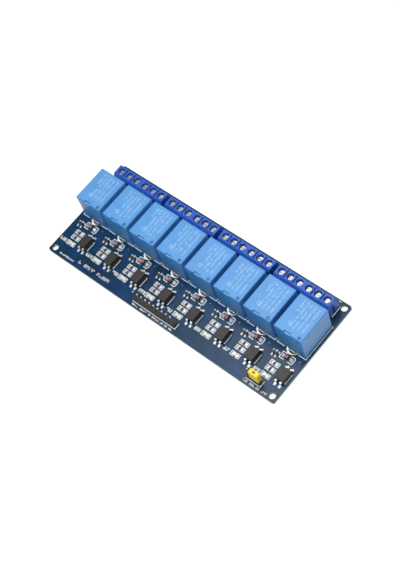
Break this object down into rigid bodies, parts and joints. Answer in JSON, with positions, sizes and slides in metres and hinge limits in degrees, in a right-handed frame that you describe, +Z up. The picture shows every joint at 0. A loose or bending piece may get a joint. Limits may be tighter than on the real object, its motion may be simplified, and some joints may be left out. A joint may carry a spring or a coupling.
{
  "type": "relay module board",
  "caption": "Flat circuit board with a row of sealed cube relays, screw terminal blocks along the back edge, and optocouplers, small parts and pin headers in front",
  "frame": {"origin": "middle of the board, on the surface that the trimmed pins under the board stand on", "axes": "+X along the board, +Y towards the screw terminals, +Z up out of the component side"},
  "size_m": [0.139, 0.056, 0.0186],
  "materials": {
    "board": "satin solder mask",
    "relay_case": "satin",
    "terminal_plastic": "satin",
    "screw_steel": "plated",
    "clamp_brass": "plated",
    "tinned_metal": "tinned",
    "chip_black": "moulded",
    "diode_glass": "glossy",
    "lamp_lens": "clear moulded",
    "chip_ceramic": "glazed top, tinned ends",
    "header_plastic": "moulded",
    "jumper_plastic": "moulded",
    "solder": "bright"
  },
  "bodies": {
    "root": {"circuit_board": "board", "relay_1": "relay_case", "relay_2": "relay_case", "relay_3": "relay_case", "relay_4": "relay_case", "relay_5": "relay_case", "relay_6": "relay_case", "relay_7": "relay_case", "relay_8": "relay_case", "relay_pins": "tinned_metal", "terminal_block_1": "terminal_plastic", "terminal_block_2": "terminal_plastic", "terminal_block_3": "terminal_plastic", "terminal_block_4": "terminal_plastic", "terminal_block_5": "terminal_plastic", "terminal_block_6": "terminal_plastic", "terminal_block_7": "terminal_plastic", "terminal_block_8": "terminal_plastic", "terminal_screws": "screw_steel", "wire_clamps": "clamp_brass", "terminal_pins": "tinned_metal", "optocoupler_1": "chip_black", "optocoupler_2": "chip_black", "optocoupler_3": "chip_black", "optocoupler_4": "chip_black", "optocoupler_5": "chip_black", "optocoupler_6": "chip_black", "optocoupler_7": "chip_black", "optocoupler_8": "chip_black", "optocoupler_leads": "tinned_metal", "transistors": "chip_black", "transistor_leads": "tinned_metal", "diode_1": "diode_glass", "diode_2": "diode_glass", "diode_3": "diode_glass", "diode_4": "diode_glass", "diode_5": "diode_glass", "diode_6": "diode_glass", "diode_7": "diode_glass", "diode_8": "diode_glass", "diode_caps": "tinned_metal", "status_lamp_1": "lamp_lens", "status_lamp_2": "lamp_lens", "status_lamp_3": "lamp_lens", "status_lamp_4": "lamp_lens", "status_lamp_5": "lamp_lens", "status_lamp_6": "lamp_lens", "status_lamp_7": "lamp_lens", "status_lamp_8": "lamp_lens", "base_resistors": "chip_ceramic", "lamp_resistors": "chip_ceramic", "input_header_base": "header_plastic", "input_header_pins": "tinned_metal", "power_header_base": "header_plastic", "power_header_pins": "tinned_metal", "jumper_cap": "jumper_plastic", "jumper_clip": "clamp_brass", "solder_joints": "solder"}
  },
  "joints": []
}
